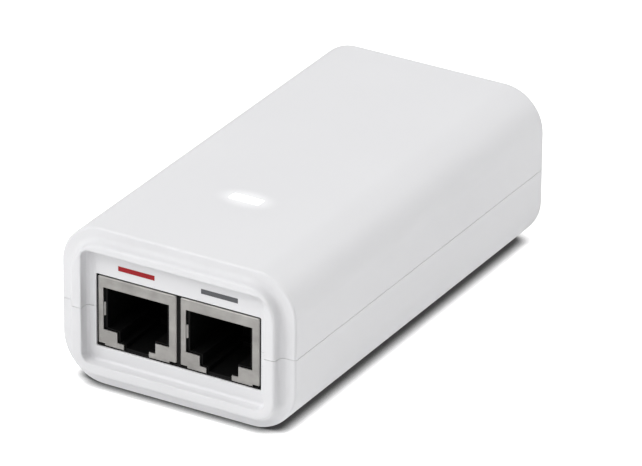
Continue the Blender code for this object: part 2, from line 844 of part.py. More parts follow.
def make_line_choke(holder):
    """A ring core on edge with a winding over each side."""
    x, y = 12.0 * MM, 20.0 * MM
    core_radius, bore_radius, thickness = 6.0 * MM, 3.2 * MM, 4.0 * MM
    winding_below_core = 1.4 * MM
    centre = (x, COMPONENT_BASE + core_radius + winding_below_core)
    ring = [
        arc(centre, core_radius, 0, 345, 23),
        arc(centre, bore_radius, 0, 340, 17),
    ]
    half = thickness / 2
    core = extruded("line_choke_core", ring, "Y", y - half, y + half)
    add_part(core, "ferrite", holder)
    for number, middle in ((1, 180), (2, 0)):
        make_choke_winding(number, middle, centre, y, holder)


def make_choke_winding(number, middle, centre, y, holder):
    """Copper wound round one side of the ring, as one sleeve bent to follow it."""
    spread, beyond = 52, 8
    outer, inner, depth = 7.1 * MM, 2.1 * MM, 3.1 * MM
    core_outer, core_inner, core_half = 6.25 * MM, 2.95 * MM, 2.25 * MM
    start, end = middle - spread, middle + spread
    sleeve = arc(centre, outer, start, end, 10) + arc(centre, inner, end, start, 6)
    hollow = arc(centre, core_outer, start - beyond, end + beyond, 12)
    hollow += arc(centre, core_inner, end + beyond, start - beyond, 8)
    winding = extruded(
        f"line_choke_winding_{number}", [sleeve], "Y", y - depth, y + depth
    )
    inside = extruded(
        f"line_choke_way_{number}", [hollow], "Y", y - core_half, y + core_half
    )
    add_part(winding, "copper_winding", holder)
    combine(winding, add_tool(inside), "DIFFERENCE")


def make_heatsink_and_switch(holder):
    block_part(
        "primary_heatsink", (18.2, 5.0), (1.6, 15.0, 17.0), "heatsink_metal", holder
    )
    block_part("power_mosfet", (14.8, 5.0), (4.4, 10.0, 15.0), "package_resin", holder)


def make_axial_diode(holder):
    centre = (15.0 * MM, -12.5 * MM, COMPONENT_BASE + 3.2 * MM)
    diode = cylinder("output_rectifier", 2.6 * MM, 9.0 * MM, centre, "Y")
    add_part(bevel(diode, 0.3 * MM), "package_resin", holder)


def make_inductor(holder):
    """A drum inductor, turned."""
    flange, waist, height = 4.0 * MM, 3.6 * MM, 9.0 * MM
    lip = 1.0 * MM
    profile = [
        (0.0, height),
        (flange, height),
        (flange, height - lip),
        (waist, height - lip),
        (waist, lip),
        (flange, lip),
        (flange, 0.0),
        (0.0, 0.0),
    ]
    foot = (6.5 * MM, -13.0 * MM, COMPONENT_BASE)
    add_part(turned("output_inductor", profile, foot), "ferrite", holder)


def make_supply(holder):
    """The converter's parts, from the mains side at the back to the output in front."""
    fuse = cylinder(
        "mains_fuse", 4.2 * MM, 7.6 * MM, (-15.4 * MM, 36.0 * MM, COMPONENT_BASE + 3.8 * MM)
    )
    add_part(bevel(fuse, 0.4 * MM), "package_resin", holder)
    disc_part("surge_varistor", (-15.4, 28.0), 4.6, 4.0, "Y", "disc_coating", holder)
    block_part(
        "suppression_capacitor", (15.6, 34.0), (6.2, 13.0, 12.0), "film_capacitor", holder
    )
    make_line_choke(holder)
    block_part("bridge_rectifier", (7.5, 9.6), (8.4, 6.4, 3.4), "package_resin", holder)
    can_part("bulk_capacitor_1", (-14.2, 19.0), 5.0, 16.0, holder)
    can_part("bulk_capacitor_2", (-2.6, 19.0), 5.0, 16.0, holder)
    make_transformer(holder)
    make_heatsink_and_switch(holder)
    block_part("switching_controller", (7.0, 2.2), (6.4, 5.0, 3.0), "package_resin", holder)
    block_part("optocoupler", (5.0, -5.4), (6.4, 4.6, 3.4), "package_resin", holder)
    disc_part("safety_capacitor", (12.6, -5.2), 3.8, 3.0, "Y", "disc_coating", holder)
    make_axial_diode(holder)
    make_inductor(holder)
    can_part("output_capacitor_1", (-15.0, -13.0), 4.0, 13.0, holder)
    can_part("output_capacitor_2", (-5.6, -13.0), 4.0, 13.0, holder)


# ----------------------------------------------------------------------- object


def make_injector():
    clear_scene()
    parts = new_collection("poe_injector")
    new_collection("tools")
    holder = bpy.data.objects.new("injector_frame", None)
    parts.objects.link(holder)
    make_case(holder)
    make_rating_label(holder)
    make_light(holder)
    make_board(holder)
    make_jacks(holder)
    make_inlet(holder)
    make_supply(holder)


make_injector()
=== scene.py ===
"""Looks of the PoE injector: case, jacks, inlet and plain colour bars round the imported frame.

Lengths are in metres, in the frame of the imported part: the jacks face -Y, the
mains inlet faces +Y and the injector lies on the floor at Z = 0.
"""

import json
import math

import bmesh
import bpy
import numpy as np
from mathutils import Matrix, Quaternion, Vector


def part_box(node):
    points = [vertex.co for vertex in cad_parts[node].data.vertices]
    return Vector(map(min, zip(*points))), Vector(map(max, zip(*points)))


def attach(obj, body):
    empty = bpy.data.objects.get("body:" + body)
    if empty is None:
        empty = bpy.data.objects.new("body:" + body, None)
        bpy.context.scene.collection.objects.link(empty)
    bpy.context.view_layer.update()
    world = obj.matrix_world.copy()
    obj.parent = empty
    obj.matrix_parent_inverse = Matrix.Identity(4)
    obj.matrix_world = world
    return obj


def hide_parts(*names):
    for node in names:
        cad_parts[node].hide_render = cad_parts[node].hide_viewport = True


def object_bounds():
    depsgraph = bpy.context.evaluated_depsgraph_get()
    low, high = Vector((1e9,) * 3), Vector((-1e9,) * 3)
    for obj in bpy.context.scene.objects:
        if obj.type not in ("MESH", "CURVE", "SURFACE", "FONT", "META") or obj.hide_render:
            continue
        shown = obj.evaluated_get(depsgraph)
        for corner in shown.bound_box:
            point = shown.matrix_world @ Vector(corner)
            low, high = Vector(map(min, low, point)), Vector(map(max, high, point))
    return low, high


MM = 0.001

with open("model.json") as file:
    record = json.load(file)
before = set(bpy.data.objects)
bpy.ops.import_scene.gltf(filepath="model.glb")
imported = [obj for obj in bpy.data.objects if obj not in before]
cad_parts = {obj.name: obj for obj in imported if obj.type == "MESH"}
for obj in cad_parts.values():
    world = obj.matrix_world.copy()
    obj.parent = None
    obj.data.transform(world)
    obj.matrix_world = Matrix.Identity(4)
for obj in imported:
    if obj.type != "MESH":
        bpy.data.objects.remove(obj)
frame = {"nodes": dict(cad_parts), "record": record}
cad_low, cad_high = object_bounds()

# ------------------------------------------------------------ driving dimensions

# Case, in the terms of its cross-section and its stations along Y
CASE_WIDTH = cad_high.x - cad_low.x
CASE_TOP = cad_high.z - 0.04 * MM
CASE_BOTTOM = cad_low.z
FRONT = cad_low.y
BACK = cad_high.y
COLLAR_DEPTH = 2.1 * MM
PANEL = FRONT + COLLAR_DEPTH
WALL = 2.2 * MM
TOP_RADIUS = 7.9 * MM
BASE_RADIUS = 8.4 * MM
RIM_FILLET = 0.5 * MM
RIM_FOOT_FILLET = 0.15 * MM
BACK_FILLET = 0.6 * MM

SEAM_HEIGHT = 14.5 * MM
SEAM_GAP = 0.085 * MM
TONGUE_THICKNESS = 0.9 * MM
TONGUE_HEIGHT = 1.2 * MM

COLLAR_WIDTH = 40.3 * MM
COLLAR_BOTTOM = 2.4 * MM
COLLAR_TOP = 27.2 * MM
COLLAR_BASE_RADIUS = 4.0 * MM
COLLAR_TOP_RADIUS = 6.0 * MM
COLLAR_INNER_EDGE = 0.25 * MM
COLLAR_OUTER_EDGE = 0.55 * MM
COLLAR_ROOT = 1.15 * MM
PANEL_WIDTH = 36.0 * MM
PANEL_BOTTOM = 4.45 * MM
PANEL_TOP = 25.75 * MM
PANEL_RADIUS = 1.6 * MM
PANEL_FILLET = 0.6 * MM
CUT_OUT_EDGE = 0.12 * MM

JACK_NAMES = ("poe", "lan")
CUT_OUT_MARGIN = 0.30 * MM
# Painted shade: a black frame, set back in the gap round the jacks, stands in for the shade there.
GAP_SHADE_SETBACK = 0.35 * MM
GAP_SHADE_DEPTH = 1.4 * MM
SHEET = 0.25 * MM
MOUTH_WIDTH = 13.05 * MM
MOUTH_HEIGHT = 8.0 * MM
MOUTH_FROM_TOP = 2.05 * MM
MOUTH_OFFSET = -0.15 * MM
LATCH_STEP_WIDTH = 7.6 * MM
LATCH_STEP_HEIGHT = 1.95 * MM
LATCH_SLOT_WIDTH = 5.0 * MM
FOOT_SLOT_WIDTH = 1.4 * MM
FOOT_SLOT_HEIGHT = 0.5 * MM
FINGER_HEIGHT = 2.5 * MM
FINGER_THICKNESS = 0.2 * MM
PLUG_WIDTH = 11.9 * MM
PLUG_HEIGHT = 7.6 * MM
PLUG_DEPTH = 14.2 * MM
CONTACT_COUNT = 8
CONTACT_RADIUS = 0.19 * MM
COMB_SLOT_WIDTH = 0.52 * MM

INLET_LOBE_RADIUS = 3.8 * MM
INLET_HOLLOW_DEPTH = 13.4 * MM
INLET_EDGE = 0.4 * MM
INLET_CHAMFER = 0.5 * MM
INLET_GAP = 0.1 * MM
PIN_BEND = 1.4 * MM

# Colour bars over the jacks
BAR_WIDTH = 7.2 * MM
BAR_HEIGHT = 0.9 * MM
BAR_BELOW_MIDDLE = 0.3 * MM
INK_PROUD = 0.035 * MM
INK_SUNK = 0.01 * MM

# Corner facets, and facets across a small fillet
CORNER_STEPS = 16
FILLET_STEPS = 5

AXIS_TURNS = {
    "X": (math.radians(90), 0.0, math.radians(90)),
    "Y": (math.radians(90), 0.0, 0.0),
    "Z": (0.0, 0.0, 0.0),
}
AXIS_VECTORS = {"X": Vector((1, 0, 0)), "Y": Vector((0, 1, 0)), "Z": Vector((0, 0, 1))}


# ----------------------------------------------------------------- mesh helpers


def link(piece):
    bpy.context.scene.collection.objects.link(piece)
    return piece


def object_from(name, shape):
    bmesh.ops.recalc_face_normals(shape, faces=shape.faces)
    mesh = bpy.data.meshes.new(name)
    shape.to_mesh(mesh)
    shape.free()
    return link(bpy.data.objects.new(name, mesh))


def evaluated_mesh(piece):
    bpy.context.view_layer.update()
    graph = bpy.context.evaluated_depsgraph_get()
    return bpy.data.meshes.new_from_object(piece.evaluated_get(graph))


def settle(piece):
    """Applies the piece's modifiers and its place, so that the mesh is the final one."""
    mesh = evaluated_mesh(piece)
    mesh.transform(piece.matrix_world)
    mesh.name = piece.name
    piece.modifiers.clear()
    piece.data = mesh
    piece.location = (0, 0, 0)
    piece.rotation_euler = (0, 0, 0)
    return piece


def mesh_from_curve(name, drawn):
    """The curve as a closed mesh object, in place."""
    mesh = evaluated_mesh(drawn)
    mesh.transform(drawn.matrix_world)
    mesh.name = name
    shape = bmesh.new()
    shape.from_mesh(mesh)
    bmesh.ops.remove_doubles(shape, verts=shape.verts, dist=0.0005 * MM)
    shape.to_mesh(mesh)
    shape.free()
    bpy.data.objects.remove(drawn, do_unlink=True)
    return link(bpy.data.objects.new(name, mesh))


def smooth(piece, angle=35, weighted=True):
    """Smooth shading that keeps the flats flat and the sharp edges sharp."""
    piece.data.shade_smooth()
    piece.data.set_sharp_from_angle(angle=math.radians(angle))
    if weighted:
        normals = piece.modifiers.new("flat_normals", "WEIGHTED_NORMAL")
        normals.keep_sharp = True
        normals.weight = 100
        settle(piece)
    return piece


def bevel(piece, width, segments=3, angle=40):
    modifier = piece.modifiers.new("edges", "BEVEL")
    modifier.width = width
    modifier.segments = segments
    modifier.limit_method = "ANGLE"
    modifier.angle_limit = math.radians(angle)
    return piece


def combine(piece, tool, operation):
    """Joins or cuts the piece with a tool, which is then removed."""
    modifier = piece.modifiers.new(operation, "BOOLEAN")
    modifier.operation = operation
    modifier.object = tool
    settle(piece)
    bpy.data.objects.remove(tool, do_unlink=True)
    return piece


def arc(centre, radius, start, end, steps=CORNER_STEPS):
    points = []
    for step in range(steps + 1):
        angle = math.radians(start + (end - start) * step / steps)
        x = centre[0] + radius * math.cos(angle)
        points.append((x, centre[1] + radius * math.sin(angle)))
    return points


def rounded(low, high, radii, steps=CORNER_STEPS):
    """A rounded rectangle between two corners; radii are its base's and its top's."""
    (left, bottom), (right, top) = low, high
    base, crown = radii
    return (
        arc((right - base, bottom + base), base, -90, 0, steps)
        + arc((right - crown, top - crown), crown, 0, 90, steps)
        + arc((left + crown, top - crown), crown, 90, 180, steps)
        + arc((left + base, bottom + base), base, 180, 270, steps)
    )


def loft(name, rings, closed):
    """A skin over rings of equally many points; closed joins the last to the first."""
    shape = bmesh.new()
    rows = [[shape.verts.new(point) for point in ring] for ring in rings]
    following = rows[1:] + rows[:1] if closed else rows[1:]
    for row, beyond in zip(rows, following):
        for here in range(len(row)):
            there = (here + 1) % len(row)
            shape.faces.new((row[here], row[there], beyond[there], beyond[here]))
    if not closed:
        shape.faces.new(rows[0])
        shape.faces.new(rows[-1])
    return object_from(name, shape)


def extruded(name, outlines, axis, start, end):
    """A flat outline, with any holes after it, drawn out along an axis."""
    curve = bpy.data.curves.new(name, "CURVE")
    curve.dimensions = "2D"
    curve.fill_mode = "BOTH"
    curve.extrude = (end - start) / 2
    for outline in outlines:
        spline = curve.splines.new("POLY")
        spline.points.add(len(outline) - 1)
        for point, (across, up) in zip(spline.points, outline):
            point.co = (across, up, 0.0, 1.0)
        spline.use_cyclic_u = True
    drawn = link(bpy.data.objects.new(f"{name}_outline", curve))
    drawn.rotation_euler = AXIS_TURNS[axis]
    drawn.location = AXIS_VECTORS[axis] * ((start + end) / 2)
    return mesh_from_curve(name, drawn)


def block(name, low, high):
    """A box between two corners, for cutting and joining."""
    shape = bmesh.new()
    bmesh.ops.create_cube(shape, size=1.0)
    size = Vector(high) - Vector(low)
    middle = (Vector(high) + Vector(low)) / 2
    bmesh.ops.scale(shape, vec=size, verts=shape.verts)
    bmesh.ops.translate(shape, vec=middle, verts=shape.verts)
    return object_from(name, shape)


def tube(name, points, radius, sides=12, tip_steps=0):
    """A round wire along a smooth route; tip_steps rounds its first end."""
    route = [Vector(point) for point in points]
    start = (route[1] - route[0]).normalized()
    sections = []
    for step in range(tip_steps):
        angle = math.radians(90 * step / tip_steps)
        place = route[0] + start * radius * (1 - math.sin(angle))
        sections.append((place, start, radius * math.cos(angle)))
    for index, point in enumerate(route):
        before = route[max(index - 1, 0)]
        after = route[min(index + 1, len(route) - 1)]
        place = point + start * radius if index == 0 and tip_steps else point
        sections.append((place, (after - before).normalized(), radius))
    rings = []
    side = start.orthogonal().normalized()
    for place, along, reach in sections:
        side = (side - along * side.dot(along)).normalized()
        other = along.cross(side)
        ring = []
        for step in range(sides):
            angle = 2 * math.pi * step / sides
            ring.append(place + (side * math.cos(angle) + other * math.sin(angle)) * reach)
        rings.append(ring)
    return loft(name, rings, closed=False)


def join(name, pieces):
    """One object that holds the meshes of several."""
    shape = bmesh.new()
    for piece in pieces:
        shape.from_mesh(piece.data)
        bpy.data.objects.remove(piece, do_unlink=True)
    return object_from(name, shape)


# -------------------------------------------------------------------- materials


def shader_of(name):
    material = bpy.data.materials.new(name)
    material.use_nodes = True
    tree = material.node_tree
    return material, tree, tree.nodes["Principled BSDF"]


def surface_points(tree):
    return tree.nodes.new("ShaderNodeTexCoord").outputs["Object"]


def noise(tree, points, scale, detail=3.0, roughness=0.55):
    made = tree.nodes.new("ShaderNodeTexNoise")
    made.inputs["Scale"].default_value = scale
    made.inputs["Detail"].default_value = detail
    made.inputs["Roughness"].default_value = roughness
    tree.links.new(points, made.inputs["Vector"])
    return made.outputs["Fac"]


def spread(tree, value, low, high):
    """A noise value, which keeps near the middle, stretched to run from low to high."""
    made = tree.nodes.new("ShaderNodeMapRange")
    made.inputs["From Min"].default_value = 0.3
    made.inputs["From Max"].default_value = 0.7
    made.inputs["To Min"].default_value = low
    made.inputs["To Max"].default_value = high
    tree.links.new(value, made.inputs["Value"])
    return made.outputs["Result"]


def blend_colours(tree, share, first, second):
    made = tree.nodes.new("ShaderNodeMix")
    made.data_type = "RGBA"
    made.inputs["A"].default_value = (*first, 1.0)
    made.inputs["B"].default_value = (*second, 1.0)
    tree.links.new(share, made.inputs["Factor"])
    return made.outputs["Result"]


def add_bump(tree, shader, height, strength, distance):
    made = tree.nodes.new("ShaderNodeBump")
    made.inputs["Strength"].default_value = strength
    made.inputs["Distance"].default_value = distance
    tree.links.new(height, made.inputs["Height"])
    tree.links.new(made.outputs["Normal"], shader.inputs["Normal"])


def tone(colour, factor):
    return tuple(min(channel * factor, 1.0) for channel in colour)


def textured(name, colour, roughness, metallic=0.0, variation=0.05, grain=900.0,
             cloud=45.0, bump=0.08, rough_range=0.06, specular=0.5):
    """A surface whose colour drifts slowly and whose gloss and relief vary finely."""
    material, tree, shader = shader_of(name)
    points = surface_points(tree)
    drift = spread(tree, noise(tree, points, cloud), 0.0, 1.0)
    fine = noise(tree, points, grain, detail=4.0)
    lighter, darker = tone(colour, 1 + variation), tone(colour, 1 - variation)
    tint = blend_colours(tree, drift, darker, lighter)
    tree.links.new(tint, shader.inputs["Base Color"])
    gloss = spread(tree, fine, roughness - rough_range, roughness + rough_range)
    tree.links.new(gloss, shader.inputs["Roughness"])
    shader.inputs["Metallic"].default_value = metallic
    shader.inputs["Specular IOR Level"].default_value = specular
    add_bump(tree, shader, fine, bump, 0.02 * MM)
    return material


def case_plastic(name, glow_at=None):
    """Satin white ABS with a fine spark-eroded grain; glow_at is the lamp's place."""
    material, tree, shader = shader_of(name)
    points = surface_points(tree)
    drift = spread(tree, noise(tree, points, 22.0), 0.0, 1.0)
    grain = noise(tree, points, 2600.0, detail=2.0)
    tint = blend_colours(tree, drift, (0.742, 0.742, 0.756), (0.762, 0.762, 0.775))
    tree.links.new(tint, shader.inputs["Base Color"])
    tree.links.new(spread(tree, grain, 0.40, 0.50), shader.inputs["Roughness"])
    shader.inputs["Specular IOR Level"].default_value = 0.42
    add_bump(tree, shader, grain, 0.10, 0.015 * MM)
    if glow_at is not None:
        add_glow(tree, shader, points, glow_at)
    return material


def add_glow(tree, shader, points, place):
    """Light that bleeds through the wall round the lamp and fades over a few millimetres."""
    offset = tree.nodes.new("ShaderNodeVectorMath")
    offset.operation = "SUBTRACT"
    offset.inputs[1].default_value = place
    tree.links.new(points, offset.inputs[0])
    flatten = tree.nodes.new("ShaderNodeVectorMath")
    flatten.operation = "MULTIPLY"
    flatten.inputs[1].default_value = (0.62, 1.0, 1.0)
    tree.links.new(offset.outputs["Vector"], flatten.inputs[0])
    length = tree.nodes.new("ShaderNodeVectorMath")
    length.operation = "LENGTH"
    tree.links.new(flatten.outputs["Vector"], length.inputs[0])
    fade = tree.nodes.new("ShaderNodeMapRange")
    fade.interpolation_type = "SMOOTHERSTEP"
    fade.inputs["From Min"].default_value = 0.8 * MM
    fade.inputs["From Max"].default_value = 4.2 * MM
    fade.inputs["To Min"].default_value = 0.16
    fade.inputs["To Max"].default_value = 0.0
    tree.links.new(length.outputs["Value"], fade.inputs["Value"])
    shader.inputs["Emission Color"].default_value = (1.0, 1.0, 1.0, 1.0)
    tree.links.new(fade.outputs["Result"], shader.inputs["Emission Strength"])


def light_plastic(name):
    """The glowing bar, with a faint cloudiness in its glow."""
    material, tree, shader = shader_of(name)
    points = surface_points(tree)
    cloud = spread(tree, noise(tree, points, 500.0), 0.85, 1.15)
    shader.inputs["Base Color"].default_value = (0.92, 0.93, 0.95, 1.0)
    shader.inputs["Roughness"].default_value = 0.35
    shader.inputs["Emission Color"].default_value = (1.0, 1.0, 1.0, 1.0)
    tree.links.new(cloud, shader.inputs["Emission Strength"])
    add_bump(tree, shader, noise(tree, points, 1500.0), 0.05, 0.01 * MM)
    return material


def sheet_metal(name):
    """Satin nickel-plated sheet with a faint rolled grain and small stains."""
    material, tree, shader = shader_of(name)
    points = surface_points(tree)
    stretch = tree.nodes.new("ShaderNodeMapping")
    stretch.inputs["Scale"].default_value = (1.0, 1.0, 7.0)
    tree.links.new(points, stretch.inputs["Vector"])
    rolled = noise(tree, stretch.outputs["Vector"], 520.0, detail=5.0)
    stains = spread(tree, noise(tree, points, 260.0, detail=4.0), 0.0, 1.0)
    tint = blend_colours(tree, stains, (0.30, 0.292, 0.280), (0.42, 0.408, 0.392))
    tree.links.new(tint, shader.inputs["Base Color"])
    tree.links.new(spread(tree, rolled, 0.34, 0.50), shader.inputs["Roughness"])
    shader.inputs["Metallic"].default_value = 1.0
    add_bump(tree, shader, rolled, 0.12, 0.01 * MM)
    return material


def wound_wire(name, colour, pitch, metallic):
    """Turns of wire or tape lying side by side, as fine bands across the surface."""
    material, tree, shader = shader_of(name)
    points = surface_points(tree)
    bands = tree.nodes.new("ShaderNodeTexWave")
    bands.bands_direction = "Y"
    bands.inputs["Scale"].default_value = 1 / (math.pi * pitch)
    bands.inputs["Distortion"].default_value = 0.6
    tree.links.new(points, bands.inputs["Vector"])
    tint = blend_colours(tree, bands.outputs["Fac"], tone(colour, 0.55), colour)
    tree.links.new(tint, shader.inputs["Base Color"])
    tree.links.new(spread(tree, noise(tree, points, 700.0), 0.25, 0.42), shader.inputs["Roughness"])
    shader.inputs["Metallic"].default_value = metallic
    add_bump(tree, shader, bands.outputs["Fac"], 0.6, 0.08 * MM)
    return material


def board_laminate(name):
    """Green solder mask over copper tracks that show as slightly lighter lines."""
    material, tree, shader = shader_of(name)
    points = surface_points(tree)
    tracks = tree.nodes.new("ShaderNodeTexVoronoi")
    tracks.feature = "DISTANCE_TO_EDGE"
    tracks.distance = "EUCLIDEAN"
    tracks.inputs["Scale"].default_value = 260.0
    tree.links.new(points, tracks.inputs["Vector"])
    step = tree.nodes.new("ShaderNodeMapRange")
    step.inputs["From Min"].default_value = 0.10
    step.inputs["From Max"].default_value = 0.14
    tree.links.new(tracks.outputs["Distance"], step.inputs["Value"])
    tint = blend_colours(tree, step.outputs["Result"], (0.010, 0.085, 0.030), (0.022, 0.15, 0.055))
    tree.links.new(tint, shader.inputs["Base Color"])
    tree.links.new(spread(tree, noise(tree, points, 800.0), 0.28, 0.40), shader.inputs["Roughness"])
    add_bump(tree, shader, step.outputs["Result"], 0.5, 0.03 * MM)
    return material


def painted_contact_shadow(tree, seen):
    """Painted contact shadow: how open the floor is, from ambient occlusion, as the camera sees it;
    bounced light finds it open all over.
    """
    openness = tree.nodes.new("ShaderNodeAmbientOcclusion")
    openness.samples = 16
    openness.inputs["Distance"].default_value = 2.8 * MM
    contact = tree.nodes.new("ShaderNodeMapRange")
    contact.inputs["From Min"].default_value = 0.33
    contact.inputs["From Max"].default_value = 1.0
    tree.links.new(openness.outputs["AO"], contact.inputs["Value"])
    share = tree.nodes.new("ShaderNodeMix")
    share.data_type = "FLOAT"
    share.inputs["A"].default_value = 1.0
    tree.links.new(seen, share.inputs["Factor"])
    tree.links.new(contact.outputs["Result"], share.inputs["B"])
    return share.outputs["Result"]


def floor_paper_painted_shadow(name):
    """A pale, brightly lit studio floor with a painted contact shadow, dark only where the case
    nearly touches it.
    """
    material, tree, shader = shader_of(name)
    points = surface_points(tree)
    seen = tree.nodes.new("ShaderNodeLightPath").outputs["Is Camera Ray"]
    painted_shadow_factor = painted_contact_shadow(tree, seen)
    # Painted contact shadow: the floor's colour runs to near black where the case nearly touches
    # it, for camera rays only.
    tint = blend_colours(tree, painted_shadow_factor, (0.05, 0.05, 0.05), (0.96, 0.96, 0.96))
    tree.links.new(tint, shader.inputs["Base Color"])
    tree.links.new(spread(tree, noise(tree, points, 40.0), 0.30, 0.34), shader.inputs["Roughness"])
    shader.inputs["Specular IOR Level"].default_value = 0.35
    glow = tree.nodes.new("ShaderNodeMapRange")
    glow.inputs["To Min"].default_value = 0.14
    glow.inputs["To Max"].default_value = 0.70
    tree.links.new(seen, glow.inputs["Value"])
    # The painted contact shadow also cuts the floor's emission where the case nearly touches it.
    both = tree.nodes.new("ShaderNodeMath")
    both.operation = "MULTIPLY"
    tree.links.new(painted_shadow_factor, both.inputs[0])
    tree.links.new(glow.outputs["Result"], both.inputs[1])
    shader.inputs["Emission Color"].default_value = (1.0, 1.0, 1.0, 1.0)
    tree.links.new(both.outputs["Value"], shader.inputs["Emission Strength"])
    return material


def make_materials():
    """Every finish of the object, by the record's slot name or the mark's name."""
    return {
        "black_plastic": textured("black_plastic", (0.014, 0.014, 0.015), 0.40, variation=0.2,
                                  grain=1800.0, bump=0.12),
        "black_insert": textured("black_insert", (0.003, 0.003, 0.003), 0.55, variation=0.2,
                                 grain=1800.0, bump=0.12, specular=0.15),
        "shield_metal": sheet_metal("shield_metal"),
        "contact_gold": textured("contact_gold", (0.80, 0.56, 0.20), 0.24, 1.0, grain=2400.0),
        "pin_metal": textured("pin_metal", (0.72, 0.70, 0.66), 0.22, 1.0, grain=1500.0),
        "light_plastic": light_plastic("light_plastic"),
        "board_laminate": board_laminate("board_laminate"),
        "capacitor_sleeve": textured("capacitor_sleeve", (0.02, 0.03, 0.075), 0.30, variation=0.25),
        "ferrite": textured("ferrite", (0.055, 0.055, 0.06), 0.62, variation=0.3, grain=1200.0,
                            bump=0.35),
        "copper_winding": wound_wire("copper_winding", (0.62, 0.24, 0.09), 0.55 * MM, 1.0),
        "winding_tape": wound_wire("winding_tape", (0.80, 0.60, 0.05), 2.4 * MM, 0.0),
        "film_capacitor": textured("film_capacitor", (0.62, 0.48, 0.05), 0.36, variation=0.08),
        "disc_coating": textured("disc_coating", (0.02, 0.13, 0.42), 0.34, variation=0.15,
                                 grain=600.0, bump=0.3),
        "package_resin": textured("package_resin", (0.022, 0.022, 0.024), 0.52, variation=0.2,
                                  grain=2000.0, bump=0.3),
        "heatsink_metal": textured("heatsink_metal", (0.70, 0.71, 0.72), 0.34, 1.0, grain=700.0),
        "label_film": textured("label_film", (0.60, 0.61, 0.62), 0.42, variation=0.02, bump=0.05),
        "red_ink": textured("red_ink", (0.33, 0.008, 0.012), 0.48, variation=0.06, cloud=300.0,
                            specular=0.25),
        "grey_ink": textured("grey_ink", (0.085, 0.087, 0.095), 0.48, variation=0.10),
        "pale_grey_ink": textured("pale_grey_ink", (0.13, 0.13, 0.14), 0.48, variation=0.10),
    }


def wear(piece, material):
    piece.data.materials.clear()
    piece.data.materials.append(material)
    return piece


def mount(piece, material, stands_for=()):
    """Finishes a new piece: its material, its body and the nodes it replaces."""
    wear(piece, material)
    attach(piece, "root")
    if stands_for:
        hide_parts(*stands_for)
    return piece


# ------------------------------------------------------------------------- case


def jacks_box():
    """The lowest and highest corner of both jack shields together."""
    corners = [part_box(f"{name}_jack_shield") for name in JACK_NAMES]
    low = Vector(min(corner[0][axis] for corner in corners) for axis in range(3))
    high = Vector(max(corner[1][axis] for corner in corners) for axis in range(3))
    return low, high


def cut_out_corners():
    low, high = jacks_box()
    reach = Vector((CUT_OUT_MARGIN, 0, CUT_OUT_MARGIN))
    return low - reach, high + reach


def station(y, left, right, bottom, top, base, crown):
    """One cross-section of the case as numbers, so that two can be blended."""
    return np.array((y, left, right, bottom, top, base, crown))


def grown(section, reach, y=None):
    """The same cross-section with its outline moved outwards, and maybe another y."""
    here, left, right, bottom, top, base, crown = section
    place = here if y is None else y
    least = 0.02 * MM
    return station(place, left - reach, right + reach, bottom - reach, top + reach,
                   max(base + reach, least), max(crown + reach, least))


def quarter(first, second, along_first):
    """Sections round a quarter of a fillet; along_first leaves the first one along Y."""
    sections = []
    for step in range(1, FILLET_STEPS + 1):
        angle = math.radians(90) * step / FILLET_STEPS
        quick, slow = math.sin(angle), 1 - math.cos(angle)
        shares = np.full(len(first), slow if along_first else quick)
        shares[0] = quick if along_first else slow
        sections.append(first + (second - first) * shares)
    return sections


def front_sections(hole, body):
    """From the inside edge of the port opening out over the panel, collar and rim."""
    collar_in = station(PANEL, -PANEL_WIDTH / 2, PANEL_WIDTH / 2, PANEL_BOTTOM, PANEL_TOP,
                        PANEL_RADIUS, PANEL_RADIUS)
    collar_out = station(PANEL, -COLLAR_WIDTH / 2, COLLAR_WIDTH / 2, COLLAR_BOTTOM, COLLAR_TOP,
                         COLLAR_BASE_RADIUS, COLLAR_TOP_RADIUS)
    inner, outer, root = COLLAR_INNER_EDGE, COLLAR_OUTER_EDGE, COLLAR_ROOT
    sections = [hole, grown(hole, 0, PANEL + CUT_OUT_EDGE)]
    sections += quarter(sections[-1], grown(hole, CUT_OUT_EDGE, PANEL), True)
    sections.append(grown(collar_in, -PANEL_FILLET))
    sections += quarter(sections[-1], grown(collar_in, 0, PANEL - PANEL_FILLET), False)
    sections.append(grown(collar_in, 0, FRONT + inner))
    sections += quarter(sections[-1], grown(collar_in, inner, FRONT), True)
    sections.append(grown(collar_out, -outer, FRONT))
    sections += quarter(sections[-1], grown(collar_out, 0, FRONT + outer), False)
    sections.append(grown(collar_out, 0, PANEL - root))
    sections += quarter(sections[-1], grown(collar_out, root, PANEL), True)
    rim = grown(body, -RIM_FILLET, PANEL)
    rim[3] = CASE_BOTTOM + RIM_FOOT_FILLET
    sections.append(rim)
    sections += quarter(rim, grown(body, 0, PANEL + RIM_FILLET), False)
    return sections


def back_sections(hole, body):
    """From the long outside over the back edge to the inside edge of the inlet opening."""
    edge = 0.2 * MM
    sections = [grown(body, 0, BACK - BACK_FILLET)]
    sections += quarter(sections[-1], grown(body, -BACK_FILLET, BACK), True)
    sections.append(grown(hole, edge, BACK))
    sections += quarter(sections[-1], grown(hole, 0, BACK - edge), False)
    sections.append(grown(hole, 0, BACK - WALL))
    return sections


def ring_of(section):
    y, left, right, bottom, top, base, crown = section
    outline = rounded((left, bottom), (right, top), (base, crown))
    return [(x, y, z) for x, z in outline]


def case_skin(name):
    """Both shells as one closed skin, outside and inside, before the seam parts them."""
    half = CASE_WIDTH / 2
    body = station(PANEL, -half, half, CASE_BOTTOM, CASE_TOP, BASE_RADIUS, TOP_RADIUS)
    low, high = cut_out_corners()
    port_hole = station(PANEL + WALL, low.x, high.x, low.z, high.z, 0.3 * MM, 0.3 * MM)
    low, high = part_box("mains_inlet_body")
    gap = INLET_GAP
    inlet_hole = station(BACK, low.x - gap, high.x + gap, low.z - gap, high.z + gap,
                         1.4 * MM, 1.4 * MM)
    sections = front_sections(port_hole, body) + back_sections(inlet_hole, body)
    sections.append(grown(body, -WALL, BACK - WALL))
    sections.append(grown(body, -WALL, PANEL + WALL))
    return loft(name, [ring_of(section) for section in sections], closed=True)


